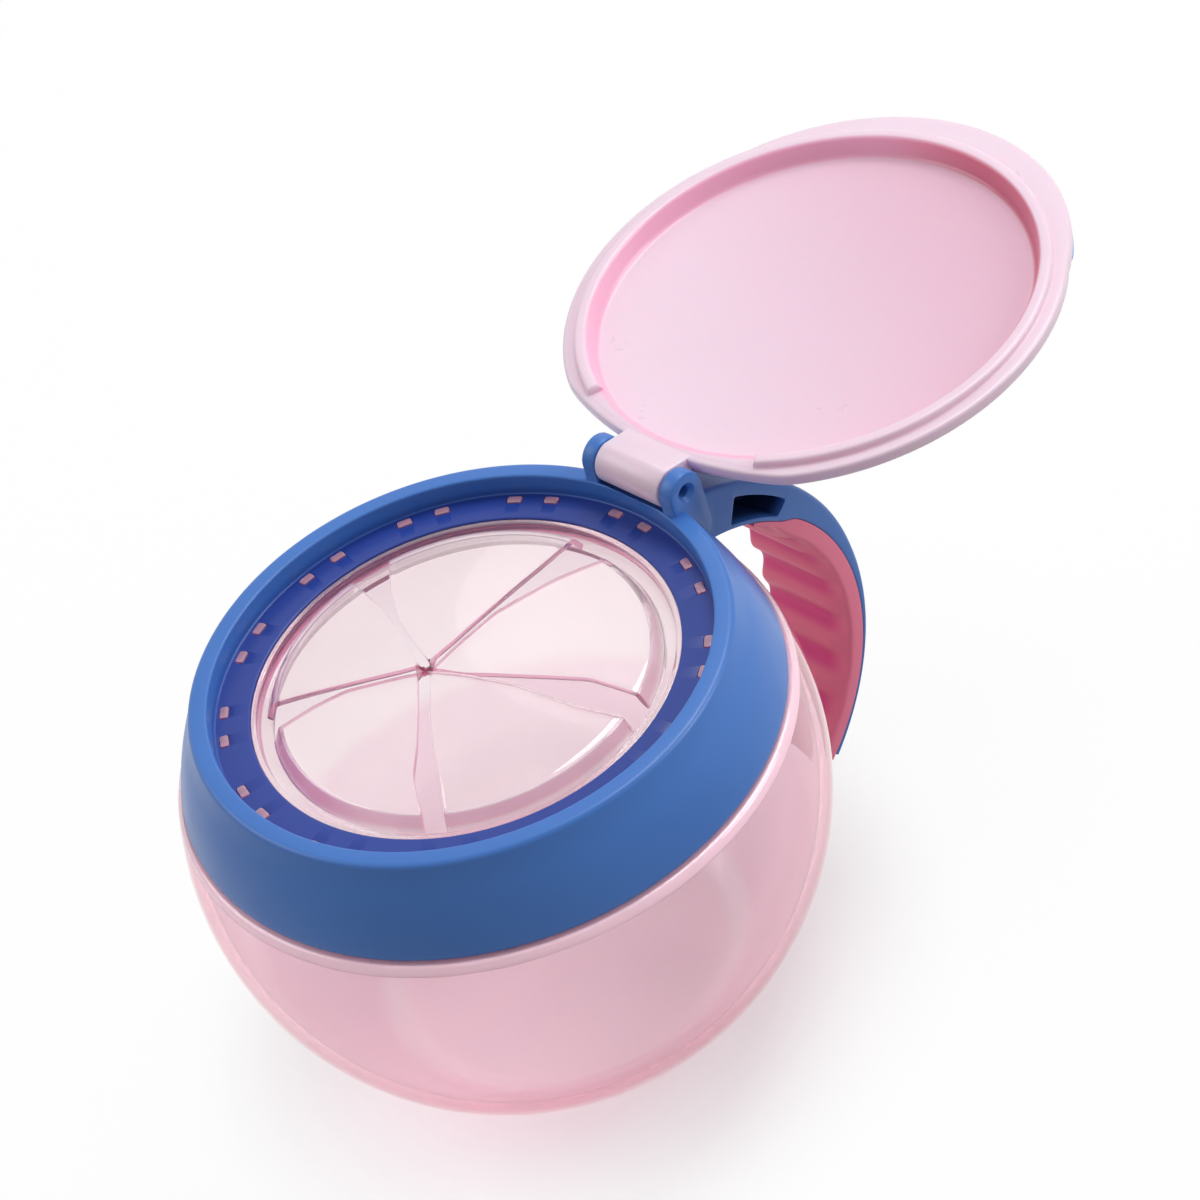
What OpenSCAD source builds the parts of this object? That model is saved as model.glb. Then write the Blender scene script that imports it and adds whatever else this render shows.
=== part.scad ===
// Toddler snack container: a round bowl, a screw collar that carries a soft five-flap
// valve, a hinged lid laid back over the handle, and a sickle-shaped handle with a soft
// finger grip. Origin at the centre of the base, +Z up, +Y towards the hinge and handle.

/* [Bowl] */
// Outer radius of the round bowl
bowl_r = 50; // [49:0.5:56]
// Height of the bowl's widest point above the base
belly_z = 42; // [40:0.5:45]
// Height of the shoulder above the widest point
shoulder_h = 14.4; // [13:0.2:16]
// Wall of the bowl
bowl_wall = 2; // [1.4:0.1:2.6]
// Thickness of the bowl's floor
floor_t = 2.6; // [2:0.1:4]
// Step in from the shoulder to the neck
neck_step = 4.9; // [4.6:0.1:6]
// Wall of the neck
neck_wall = 1.8; // [1.4:0.1:2.4]

/* [Collar] */
// Height of the collar
collar_h = 14.2; // [13.6:0.1:17]
// How far the collar's lower edge sits inside the shoulder
collar_inset = 0.7; // [0.2:0.1:1.2]
// How far the collar's side leans in on its way up
collar_taper = 5.6; // [4.8:0.1:6]
// How far the collar's side bulges out between its edges
collar_bulge = 0.55; // [0.2:0.05:1]
// Width of the rim
rim_w = 2.9; // [2.4:0.1:3.4]
// Radius of the rim's outer edge
rim_round = 1.2; // [0.6:0.1:1.4]
// Angle from the level at which the rim's rounding starts
rim_lean = 15; // [8:1:24]
// Chamfer on the rim's inner edge
rim_chamfer = 0.4; // [0.2:0.1:0.6]
// Depth of the flange below the rim
flange_drop = 3.7; // [3:0.1:4.4]
// Width of the flange
flange_w = 5.6; // [5:0.1:6.5]
// Thickness of the flange
flange_t = 1.6; // [1.2:0.1:2]
// Step from the rim down to the boss that carries the handle
boss_step = 0.7; // [0.4:0.1:1.5]
// Number of pairs of anchor slots round the flange
slot_pairs = 13; // [10:1:15]
// Angle between the two slots of a pair
slot_split = 9.5; // [8:0.5:11]
// Length of an anchor slot round the flange
slot_l = 2.6; // [1.8:0.1:3]
// Width of an anchor slot
slot_w = 1.6; // [1.2:0.1:1.8]
// Distance from the mouth's wall in to the middle of the slots
slot_inset = 1.5; // [1.2:0.1:2.2]

/* [Seal] */
// Thickness of the sealing ring on the neck
seal_t = 1.6; // [1.2:0.1:2.4]
// Width of the sealing ring
seal_w = 2.3; // [2:0.1:2.8]

/* [Valve] */
// How far the plugs stand up out of the flange's slots
plug_up = 0.2; // [0.1:0.05:0.4]
// Thickness of the soft moulding
soft_t = 0.9; // [0.7:0.1:1.2]
// Depth of the ledge below the flange
ledge_drop = 2.3; // [2:0.1:2.8]
// Width of the ledge
ledge_w = 2; // [1.6:0.1:2.6]
// Height of the flaps' outer edge above the ledge
flap_rise = 2.7; // [2.2:0.1:3.2]
// How far the raised side leans in
flap_lean = 1.8; // [1.4:0.1:2.2]
// Rise of the flaps from their outer edge to the middle
crown_rise = 1.5; // [1:0.1:2]
// How far the ends of the fold lines lie inside the flaps' outer edge
fold_in = 2; // [1.6:0.1:3.4]
// Where the slits meet, to the right of the axis
star_x = -3.4; // [-5:0.1:0]
// Where the slits meet, behind the axis
star_y = -3.6; // [-5:0.1:0]
// Radius of the opening where the slits meet
star_r = 0.8; // [0.6:0.1:1.2]
// Direction in which the first slit runs out
slit_1 = 16; // [8:1:24]
// Direction in which the second slit runs out
slit_2 = 99; // [91:1:107]
// Direction in which the third slit runs out
slit_3 = 164; // [156:1:172]
// Direction in which the fourth slit runs out
slit_4 = 224; // [216:1:232]
// Direction in which the fifth slit runs out
slit_5 = 305; // [297:1:313]
// Half the width of a slit where the slits meet
slit_in = 0.5; // [0.35:0.05:0.7]
// Half the width of a slit at its outer end
slit_out = 2; // [1.2:0.1:2.4]
// How far the valve's inner wall ends below the flange's face
wall_step = 0.4; // [0.2:0.1:0.8]

/* [Hinge] */
// Radius of the hinge pin
pin_r = 1; // [0.8:0.1:1.3]
// Height of the pin above the rim
pin_up = 2.5; // [2:0.1:3]
// How far the pin lies behind the rim's outer edge
pin_back = 0.1; // [0:0.1:1]
// Width of the lid's knuckle
knuckle_w = 13.3; // [11:0.1:16]
// Radius of the lid's knuckle
knuckle_r = 3.5; // [3:0.1:3.8]
// Thickness of each hinge ear
ear_t = 2.6; // [2.2:0.1:3.2]
// Radius of a hinge ear round the pin
ear_r = 3.4; // [3.2:0.1:3.8]
// How far the back of each ear runs down below the flange
ear_foot = 4; // [2:0.5:6]
// Width of the countersink round each pin hole
sink = 0.7; // [0.4:0.1:1]
// How far the pin's ends sit inside the ears
pin_recess = 1.2; // [0.6:0.1:1.6]
// Angle that the lid is laid back from closed
open_angle = 176.8; // [150:0.2:177]

/* [Lid] */
// Thickness of the lid's edge
lid_t = 2.2; // [1.8:0.1:2.6]
// Height of the plug wall
plug_h = 1.2; // [0.8:0.1:1.8]
// Thickness of the plug wall
plug_w = 2.1; // [1.7:0.1:2.4]
// Rounding of the plug wall's edges
plug_round = 0.8; // [0.4:0.1:0.9]
// Angle left open in the plug wall at the hinge
plug_open = 54; // [44:2:80]
// How far the pan's side wall leans in on its way down to the floor
dish_lean = 0.8; // [0.4:0.1:1.2]
// Depth of the pan's floor at its edge
dish_edge = 2.2; // [1.6:0.1:2.4]
// Depth of the pan's floor in the middle
dish_mid = 3.3; // [2.6:0.1:3.8]
// Wall of the pan
dome_t = 1.9; // [1.5:0.1:2.2]
// How far the pan's floor bows below a cone
dish_bow = 0.3; // [0:0.1:0.4]
// Rounding of the pan's outer edge
dome_round = 1.2; // [0.6:0.1:1.4]
// How far the lid's edge sits inside the rim's outer edge
lid_inset = 1.1; // [0.8:0.1:1.4]
// Rounding of the lid's upper edge
lid_round = 0.6; // [0.3:0.1:0.8]
// How far the thumb lip reaches past the lid's edge
lip_out = 2.9; // [2:0.1:3.6]
// How far the round of the thumb lip is moved to the front
lip_shift = 6; // [5:0.5:9]
// Radius of the lid's flatter back edge
back_r = 60; // [56:1:80]
// Thickness of the soft thumb pad
pad_t = 1.2; // [0.9:0.1:1.6]
// Half the angle that the thumb pad spans round the lid
pad_half = 50; // [40:1:56]
// Width of the bare edge left round the thumb pad
pad_edge = 0.3; // [0.2:0.1:0.8]

/* [Handle] */
// Radius of the handle's outer sweep
sweep_r = 41; // [40:0.5:44]
// How far the handle reaches past the bowl
reach = 21.5; // [20.5:0.5:26]
// Height of the sweep's centre below the bowl's widest point
sweep_drop = 9.7; // [8.5:0.1:10.5]
// Width of the handle
handle_w = 18.4; // [16:0.2:18.8]
// How much smaller than the outer sweep's the inner sweep's radius is
arm_t = 6.8; // [6.2:0.1:7.2]
// How far the inner sweep's centre lies outside the outer sweep's centre
inner_out = 4.3; // [4:0.1:4.6]
// How far the inner sweep's centre lies below the outer sweep's centre
inner_down = 3.6; // [3.3:0.1:3.9]
// Height of the handle's tip above the base
tip_z = 1; // [0.6:0.1:4]
// Wall above the pocket in the handle's side
pocket_wall = 2.3; // [1.8:0.1:2.6]
// Wall below the pocket
pocket_floor = 1; // [0.8:0.1:1.6]
// Angle of the pocket's lower end on the sweep
pocket_low = 40; // [38:1:44]
// Distance from the boss to the pocket's upright front end
pocket_front = 2.8; // [1.6:0.2:4]
// Web left between the two side pockets
pocket_web = 3; // [2:0.2:5]
// Thickness of the soft grip on the handle's inner face
grip_t = 2; // [1.6:0.1:2.6]
// How far the seat cut for the grip lies out from the inner sweep
seat_out = 0.8; // [0.5:0.1:1]
// How far the seat lies up from the inner sweep
seat_up = 0.3; // [0.1:0.1:0.4]
// Angle on the inner sweep where the seat's slanted step starts
seat_start = 48; // [46:1:50]
// Angle where the seat's step ends
seat_full = 40; // [38:1:42]
// Thickness of the grip's thin tongue above the step
tongue_t = 1; // [0.8:0.1:1.4]
// Height of the finger ridges
ridge_h = 0.9; // [0.5:0.1:1.2]
// Radius of a finger ridge
ridge_r = 2.4; // [2:0.1:3]
// Number of finger ridges
ridges = 7; // [5:1:8]
// Angle of the grip's upper end on the inner sweep
grip_top = 57; // [54:1:58]
// Angle of the uppermost finger ridge
ridge_top = 38; // [36:1:40]
// Angle from the grip's lower end to the nearest finger ridge
ridge_end = 8; // [6:1:10]
// How far the grip ends above the handle's tip
grip_up = 2; // [1:0.5:4]

/* [Fits] */
// Gap between the shoulder and the collar's lower edge
collar_gap = 0.4; // [0.3:0.1:0.8]
// Gap between the neck and the collar's bore
thread_gap = 0.6; // [0.5:0.05:0.8]
// Gap along each flap's fold line
fold_gap = 0.95; // [0.95:0.01:0.98]
// Gap at each flat face of the sealing ring
seat_gap = 0.05; // [0.02:0.01:0.1]
// Gap between parts that move past each other
run_gap = 0.3; // [0.3:0.05:0.5]
// Gap between the plug wall and the mouth
plug_gap = 0.4; // [0.3:0.05:0.6]
// Gap round the hinge pin in the knuckle
pin_gap = 0.06; // [0.04:0.01:0.1]
// Gap round the hinge pin in the ears
press_gap = 0.02; // [0.01:0.01:0.03]
// Gap round a soft plug in its slot, and behind the soft grip
bond_gap = 0.04; // [0.02:0.01:0.08]

/* [Hidden] */
$fn = 96;
eps = 0.01;
far = 200;

// bowl
shoulder_z = belly_z + shoulder_h;
shoulder_r = sqrt(bowl_r * bowl_r - shoulder_h * shoulder_h);
neck_r = shoulder_r - neck_step;

// collar
collar_z = shoulder_z + collar_gap;
collar_r = shoulder_r - collar_inset;
rim_z = collar_z + collar_h;
rim_r = collar_r - collar_taper;
mouth_r = rim_r - rim_w;
flange_z = rim_z - flange_drop;
flange_r = mouth_r - flange_w;
flange_under = flange_z - flange_t;
bore_r = neck_r + thread_gap;
neck_top = flange_under - seal_t;
seal_r = bore_r - run_gap;
slot_r = mouth_r - slot_inset;

// valve
ledge_z = flange_z - ledge_drop;
wall_out_r = flange_r - bond_gap;
wall_in_r = flange_r - soft_t;
side_r = wall_in_r - ledge_w;
crown_r = side_r - flap_lean;
crown_z = ledge_z + flap_rise;
fold_r = crown_r - fold_in;
seat_r = seal_r - seal_w - run_gap;
star = [star_x, star_y];
slit_dir = [slit_1, slit_2, slit_3, slit_4, slit_5];
lean_t = soft_t * (norm([flap_rise, flap_lean]) - flap_lean) / flap_rise;

// hinge
pin_y = rim_r + pin_back;
pin_z = rim_z + pin_up;
ear_in = knuckle_w / 2 + run_gap;
ear_out = ear_in + ear_t;

// lid, measured closed
lid_z = rim_z + run_gap;
lid_r = rim_r - lid_inset;
lid_top = lid_z + lid_t;
plug_r = mouth_r - plug_gap;
pan_r = plug_r - plug_w;
dish_r = pan_r - dish_lean;
dome_r = dish_r + dome_t;
dome_z = lid_z + dish_edge + dome_t;
back_y = pin_y - ear_r - run_gap;

// handle
sweep_y = bowl_r + reach - sweep_r;
sweep_z = belly_z - sweep_drop;
inner_r = sweep_r - arm_t;
inner_y = sweep_y + inner_out;
inner_z = sweep_z - inner_down;
boss_y = collar_r + run_gap;
grip_r = inner_r - grip_t;
grip_end = asin((tip_z + grip_up - inner_z) / grip_r);
ridge_step = (ridge_top - grip_end - ridge_end) / (ridges - 1);

// points on a circle from angle a to angle b
function arc(c, r, a, b, n) =
    [for (i = [0 : n]) let (t = a + (b - a) * i / n) [c[0] + r * cos(t), c[1] + r * sin(t)]];

// points between p and q that bow out by s, to the right of the way from p to q
function bow(p, q, s, n) =
    let (d = q - p, u = [d[1], -d[0]] / norm(d))
    [for (i = [0 : n]) let (t = i / n) p + d * t + u * 4 * s * t * (1 - t)];

// height of the flaps' top at radius r
function crown(r) = crown_z + crown_rise * (1 - pow(r / crown_r, 2));

function polar(r, a) = [r * cos(a), r * sin(a)];

module disc(r, z0, z1) {
    translate([0, 0, z0]) cylinder(r = r, h = z1 - z0);
}

// a YZ outline, given as [y, z], made into a block from x0 to x1
module across(x0, x1) {
    translate([x0, 0, 0]) rotate([90, 0, 90]) linear_extrude(x1 - x0) children();
}

// moves a closed lid part to the laid-back rest place
module laid_back() {
    translate([0, pin_y, pin_z]) rotate([-open_angle, 0, 0]) translate([0, -pin_y, -pin_z])
        children();
}

// ---- bowl: one clear moulding, a sphere cut flat below, with a neck for the collar
module ball(r, z0, z1) {
    intersection() {
        translate([0, 0, belly_z]) sphere(r = r);
        disc(r, z0, z1);
    }
}

module bowl() {
    color("pink", 0.6) difference() {
        union() {
            ball(bowl_r, 0, shoulder_z);
            disc(neck_r, shoulder_z - eps, neck_top);
        }
        ball(bowl_r - bowl_wall, floor_t, shoulder_z - bowl_wall);
        disc(neck_r - neck_wall, belly_z, neck_top + eps);
    }
}

// ---- sealing ring: sits on the neck and stays in the collar when it is unscrewed
module seal_ring() {
    color("mistyrose") difference() {
        disc(seal_r, neck_top + seat_gap, flange_under - seat_gap);
        disc(seal_r - seal_w, neck_top, flange_under);
    }
}

// ---- collar: screw ring, slotted flange, two hinge ears and the boss for the handle
module collar_skin() {
    rotate_extrude() polygon(concat(
        [[flange_r, collar_z]],
        bow([collar_r, collar_z], [rim_r, rim_z - rim_round], collar_bulge, 8),
        arc([rim_r - rim_round, rim_z - rim_round], rim_round, rim_lean, 90, 5),
        [[mouth_r + rim_chamfer, rim_z], [mouth_r, rim_z - rim_chamfer],
         [flange_r, rim_z - rim_chamfer]]));
}

module ear_outline() {
    translate([pin_y, pin_z]) circle(r = ear_r);
    polygon([[pin_y - ear_r, pin_z], [pin_y - ear_r, flange_z],
             [pin_y + ear_r, flange_z - ear_foot], [pin_y + ear_r, pin_z]]);
}

// everything between the handle's outer sweep and the blade's inner sweep
module sickle() {
    difference() {
        translate([sweep_y, sweep_z]) circle(r = sweep_r, $fn = 128);
        translate([inner_y, inner_z]) circle(r = inner_r, $fn = 128);
    }
}

module boss_outline() {
    intersection() {
        sickle();
        translate([pin_y, collar_z]) square([boss_y - pin_y, rim_z - boss_step - collar_z]);
    }
}

module slots(gap, z0, z1) {
    for (i = [0 : slot_pairs - 1], side = [-1, 1])
        rotate(90 + i * 360 / slot_pairs + side * slot_split / 2)
            translate([slot_r - slot_w / 2 + gap, -slot_l / 2 + gap, z0])
                cube([slot_w - 2 * gap, slot_l - 2 * gap, z1 - z0]);
}

module collar() {
    color("royalblue") difference() {
        union() {
            collar_skin();
            for (side = [-1, 1])
                across(side > 0 ? ear_in : -ear_out, side > 0 ? ear_out : -ear_in)
                    ear_outline();
            across(-handle_w / 2, handle_w / 2) boss_outline();
        }
        disc(bore_r, collar_z - eps, flange_under);
        disc(mouth_r, flange_z, rim_z + eps);
        slots(0, flange_under - soft_t, flange_z + soft_t);
        across(-ear_in, ear_in) {
            translate([flange_r, pin_z - knuckle_r - 2 * run_gap])
                square([pin_y - flange_r, 2 * knuckle_r]);
            translate([pin_y, pin_z]) circle(r = knuckle_r + 2 * run_gap);
        }
        across(-ear_out - eps, ear_out + eps)
            translate([pin_y, pin_z]) circle(r = pin_r + press_gap);
        for (side = [-1, 1]) translate([side * (ear_out - sink), pin_y, pin_z])
            rotate([0, side * 90, 0])
                cylinder(r1 = pin_r + press_gap, r2 = pin_r + press_gap + sink, h = sink + eps);
    }
}

// ---- hinge pin: a steel pin pressed into the ears, the lid's knuckle turns on it
module hinge_pin() {
    color("silver") across(-ear_out + pin_recess, ear_out - pin_recess)
        translate([pin_y, pin_z]) circle(r = pin_r);
}

// ---- handle: a sickle blade with a cored pocket in each side
module pocket_outline() {
    intersection() {
        difference() {
            translate([sweep_y, sweep_z]) circle(r = sweep_r - pocket_wall, $fn = 128);
            translate([inner_y, inner_z]) circle(r = inner_r + pocket_floor, $fn = 128);
        }
        translate([sweep_y, sweep_z]) polygon([[0, 0], polar(far, pocket_low), [0, far]]);
        translate([boss_y + pocket_front, sweep_z]) square([far, far]);
    }
}

// the round the grip lies against: the inner sweep, moved out and up below a slanted step
module seat_outline(gap) {
    circle(r = inner_r - gap, $fn = 128);
    intersection() {
        translate([seat_out, seat_up]) circle(r = inner_r - gap, $fn = 128);
        polygon([[0, 0], [0, -far], [far, -far], polar(far, seat_full - 2 * gap),
                 polar(inner_r + seat_out + seat_up, seat_full - 2 * gap),
                 polar(grip_r, seat_start - 2 * gap)]);
    }
}

module handle() {
    color("royalblue") difference() {
        across(-handle_w / 2, handle_w / 2) difference() {
            intersection() {
                sickle();
                translate([boss_y, tip_z]) square([far, far]);
            }
            translate([inner_y, inner_z]) seat_outline(0);
        }
        for (side = [-1, 1])
            across(side > 0 ? pocket_web / 2 : -handle_w, side > 0 ? handle_w : -pocket_web / 2)
                pocket_outline();
    }
}

// ---- grip: a soft pad on the blade's inner face, with finger ridges across it
module grip_outline() {
    difference() {
        seat_outline(bond_gap);
        difference() {
            circle(r = grip_r, $fn = 128);
            for (i = [0 : ridges - 1])
                translate(polar(grip_r + ridge_r - ridge_h, ridge_top - i * ridge_step))
                    circle(r = ridge_r, $fn = 32);
        }
        intersection() {
            circle(r = inner_r - tongue_t, $fn = 128);
            polygon([[0, 0], polar(grip_r - eps, seat_full + 2),
                     polar(inner_r, seat_start + 2), polar(far, seat_start + 2), [0, far]]);
        }
        polygon([[0, 0], polar(far, grip_end), [0, -far], [-far, 0], [0, far],
                 polar(far, grip_top)]);
    }
}

module handle_grip() {
    color("mediumvioletred") across(-handle_w / 2, handle_w / 2)
        translate([inner_y, inner_z]) grip_outline();
}

// ---- valve: a clear soft moulding whose plugs lock through the collar's slots
module soft_skin() {
    rotate_extrude() polygon(concat(
        [[seat_r, flange_under], [wall_out_r, flange_under], [wall_out_r, flange_z - wall_step],
         [wall_in_r, flange_z - wall_step], [wall_in_r, ledge_z], [side_r, ledge_z]],
        [for (i = [0 : 7]) let (r = crown_r * (1 - i / 7)) [r, crown(r)]],
        [for (i = [7 : -1 : 0]) let (r = (crown_r - lean_t) * (1 - i / 7))
            [r, crown(r) - soft_t]],
        [[side_r - lean_t, ledge_z - soft_t], [flange_r + soft_t / 2, ledge_z - soft_t],
         [flange_r + soft_t / 2, flange_under - soft_t], [seat_r, flange_under - soft_t]]));
}

function slit_root(k) = polar(side_r, slit_dir[k % 5]);
function fold_end(k) = polar(fold_r, slit_dir[k % 5]);

// the wedge that slit k leaves open, from the middle of the star to the ledge
module slit(k) {
    d = slit_root(k) - star;
    u = [-d[1], d[0]] / norm(d);
    polygon([star + u * slit_in, star - u * slit_in,
             slit_root(k) - u * slit_out, slit_root(k) + u * slit_out]);
}

// the triangle between two slits, moved out by grow past its fold line
module flap_area(k, grow) {
    a = fold_end(k);
    b = fold_end(k + 1);
    d = b - a;
    u = [d[1], -d[0]] / norm(d);
    polygon([star, a, a + u * grow, b + u * grow, b]);
}

module flap(k) {
    color("lightpink", 0.7) intersection() {
        soft_skin();
        translate([0, 0, ledge_z]) linear_extrude(2 * flap_rise) difference() {
            flap_area(k - 1, 0);
            slit(k - 1);
            slit(k);
            translate(star) circle(r = star_r, $fn = 24);
        }
    }
}

module valve_ring() {
    color("lightpink", 0.7) {
        difference() {
            soft_skin();
            translate([0, 0, ledge_z - 2 * soft_t])
                linear_extrude(4 * flap_rise)
                    for (k = [0 : 4]) {
                        flap_area(k, fold_gap);
                        slit(k);
                    }
        }
        slots(bond_gap, flange_under - soft_t / 2, flange_z + plug_up);
    }
}

// ---- lid: a shallow pan with a flange, a C-shaped plug wall, a thumb lip and a rolled knuckle
module lid_skin() {
    rotate_extrude() polygon(concat(
        bow([0, lid_z + dish_mid], [dish_r, lid_z + dish_edge], -dish_bow, 6),
        [[dish_r, lid_z], [lid_r - lid_round / 2, lid_z], [lid_r, lid_z + lid_round / 2],
         [lid_r, lid_top - lid_round], [lid_r - lid_round, lid_top], [dome_r, lid_top]],
        arc([dome_r - dome_round, dome_z - dome_round], dome_round, 0, 80, 4),
        bow([dome_r - 2 * dome_round, dome_z], [0, lid_z + dish_mid + dome_t], dish_bow, 6)));
}

module plug_wall() {
    rotate([0, 0, 90 + plug_open / 2]) rotate_extrude(angle = 360 - plug_open)
        polygon(concat(
            [[dish_r, lid_z + dish_edge]],
            arc([pan_r + plug_round, lid_z - plug_h + plug_round], plug_round, 180, 270, 4),
            arc([plug_r - plug_round, lid_z - plug_h + plug_round], plug_round, 270, 360, 4),
            [[plug_r, lid_z + lid_round]]));
}

// a disc moved towards the front, so that it stands out past the lid's edge there
module front_disc(out) {
    translate([0, -lip_shift]) circle(r = lid_r + out - lip_shift, $fn = 128);
}

module knuckle_outline() {
    translate([pin_y, pin_z]) circle(r = knuckle_r);
    polygon([[back_y - lid_t / 2, lid_z], [pin_y, pin_z - knuckle_r], [pin_y, pin_z],
             [back_y - lid_t / 2, lid_top]]);
}

module lid() {
    color("pink") laid_back() difference() {
        union() {
            difference() {
                union() {
                    lid_skin();
                    plug_wall();
                    translate([0, 0, lid_z + lid_round / 2])
                        linear_extrude(lid_t - lid_round / 2) difference() {
                            front_disc(lip_out);
                            circle(r = dome_r);
                        }
                }
                translate([0, 0, lid_z - plug_h - eps]) linear_extrude(far) difference() {
                    translate([-far, 0]) square([2 * far, far]);
                    translate([0, back_y - back_r]) circle(r = back_r, $fn = 128);
                }
            }
            across(-knuckle_w / 2, knuckle_w / 2) knuckle_outline();
        }
        across(-knuckle_w, knuckle_w) translate([pin_y, pin_z]) circle(r = pin_r + pin_gap);
    }
}

// ---- thumb pad: a soft crescent bonded to the outside of the thumb lip
module thumb_pad() {
    color("cornflowerblue") laid_back()
        translate([0, 0, lid_top]) linear_extrude(pad_t) difference() {
            front_disc(lip_out - pad_edge);
            circle(r = dome_r + lid_round);
            translate([-far, 0]) square([2 * far, far]);
            for (side = [-1, 1]) rotate(side * pad_half) translate([side > 0 ? 0 : -far, -far])
                square([far, far]);
        }
}

bowl();
seal_ring();
collar();
handle();
handle_grip();
hinge_pin();
valve_ring();
flap(1);  // flap_1
flap(2);  // flap_2
flap(3);  // flap_3
flap(4);  // flap_4
flap(5);  // flap_5
lid();
thumb_pad();
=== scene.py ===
"""The looks of a toddler snack container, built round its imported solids.

Sizes are in millimetres, as in the part's source, and every mesh is made in metres.
The pieces follow in the order in which the container is put together.
"""

import math

import bmesh
import bpy
import numpy as np
from mathutils import Matrix, Vector


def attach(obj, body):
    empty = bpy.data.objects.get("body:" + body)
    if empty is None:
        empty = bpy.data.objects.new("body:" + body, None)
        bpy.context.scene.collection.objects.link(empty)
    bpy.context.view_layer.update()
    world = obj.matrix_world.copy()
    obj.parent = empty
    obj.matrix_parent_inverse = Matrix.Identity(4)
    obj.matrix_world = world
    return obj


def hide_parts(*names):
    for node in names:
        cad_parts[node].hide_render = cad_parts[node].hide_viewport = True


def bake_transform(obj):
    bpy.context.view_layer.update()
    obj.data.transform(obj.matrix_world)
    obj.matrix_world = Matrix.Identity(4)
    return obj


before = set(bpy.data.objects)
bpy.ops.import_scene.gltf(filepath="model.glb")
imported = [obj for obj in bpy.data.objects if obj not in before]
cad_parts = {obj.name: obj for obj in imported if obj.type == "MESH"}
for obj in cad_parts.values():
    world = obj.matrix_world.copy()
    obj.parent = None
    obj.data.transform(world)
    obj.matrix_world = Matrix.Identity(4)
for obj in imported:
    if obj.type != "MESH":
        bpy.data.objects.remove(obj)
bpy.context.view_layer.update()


# ---- The white table, the room and the lamps.
# A seamless white sheet runs under the container. A large soft lamp hangs high behind it,
# a softer one stands on either side and a pale card leans in from the back; the side that
# faces the lens stays in shade.
class Wire:
    """One output of a shader node; an expression on wires adds its Math nodes."""

    def __init__(self, finish, node, output=0):
        self.finish, self.node, self.socket = finish, node, node.outputs[output]

    def __getitem__(self, output):
        return Wire(self.finish, self.node, output)

    def _math(self, operation, first, second):
        return self.finish.add("Math", {"operation": operation}, {0: first, 1: second})

    def __add__(self, other):
        return self._math("ADD", self, other)

    def __mul__(self, other):
        return self._math("MULTIPLY", self, other)

    def __sub__(self, other):
        return self._math("SUBTRACT", self, other)

    def __rsub__(self, other):
        return self._math("SUBTRACT", other, self)

    def over(self, other):
        return self._math("MAXIMUM", self, other)

    def step(self, low, high):
        """0 below low and 1 above high, with a smooth way between."""
        return self.finish.add(
            "MapRange",
            {"interpolation_type": "SMOOTHSTEP"},
            {"Value": self, "From Min": low, "From Max": high},
        )

    __radd__, __rmul__ = __add__, __mul__


class Finish:
    """The nodes of one surface, or of the room."""

    def __init__(self, owner):
        owner.use_nodes = True
        self.owner, self.tree = owner, owner.node_tree
        self.tree.nodes.clear()

    def add(self, kind, settings=None, values=None, output=0):
        """A node of that kind: its settings first, then the values or wires of its sockets."""
        node = self.tree.nodes.new("ShaderNode" + kind)
        for name, value in (settings or {}).items():
            setattr(node, name, value)
        for name, value in (values or {}).items():
            if isinstance(value, Wire):
                self.tree.links.new(value.socket, node.inputs[name])
            else:
                node.inputs[name].default_value = value
        return Wire(self, node, output) if node.outputs else node

    def vector(self, operation, *values):
        """A Vector Math node's number where the operation gives one, and else its vector."""
        number = operation in ("LENGTH", "DOT_PRODUCT")
        settings = {"operation": operation}
        return self.add("VectorMath", settings, dict(enumerate(values)), "Value" if number else 0)

    def mixed(self, mask, first, second):
        """The first colour where the mask is 0 and the second where it is 1."""
        first, second = (c if isinstance(c, Wire) else c + (1,) for c in (first, second))
        return self.add("Mix", {"data_type": "RGBA"}, {0: mask, 6: first, 7: second}, output=2)

    def seen(self):
        """1 for what the lens, a gloss or a clear wall shows, 0 for light on the object."""
        path = self.add("LightPath")
        straight = path["Is Camera Ray"].over(path["Is Glossy Ray"])
        return straight.over(path["Is Transmission Ray"])


room_light = 0.28
sheet_white, sheet_back = 0.97, 0.5
sheet_side, sheet_drop = 4000.0, 0.1
# The share of its own light in the sheet's white rises between two distances from the middle:
# painted light that washes out the container's shadow further off and leaves it deep close by.
glow_near, glow_far = 0.1, 0.94
glow_first, glow_last = 22.0, 66.0
lamps = {
    "lamp_behind": {"at": (-120, 780, 1430), "side": 900, "watts": 11.4},
    "lamp_right": {"at": (860, 960, 720), "side": 800, "watts": 7.5},
    "lamp_left": {"at": (-950, -680, 950), "side": 1000, "watts": 5.3},
    "card_back": {"at": (-700, 880, 950), "side": 800, "watts": 0.8},
}
lamp_aim = (0, 15, 50)

mm = 0.001
scene = bpy.context.scene
scene.view_settings.view_transform = "Standard"

room = Finish(bpy.data.worlds.new("white_room"))
scene.world = room.owner
strength = room.seen() * (1.0 - room_light) + room_light
air = room.add("Background", values={"Color": (1, 1, 1, 1), "Strength": strength})
room.add("OutputWorld", values={"Surface": air})

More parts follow.
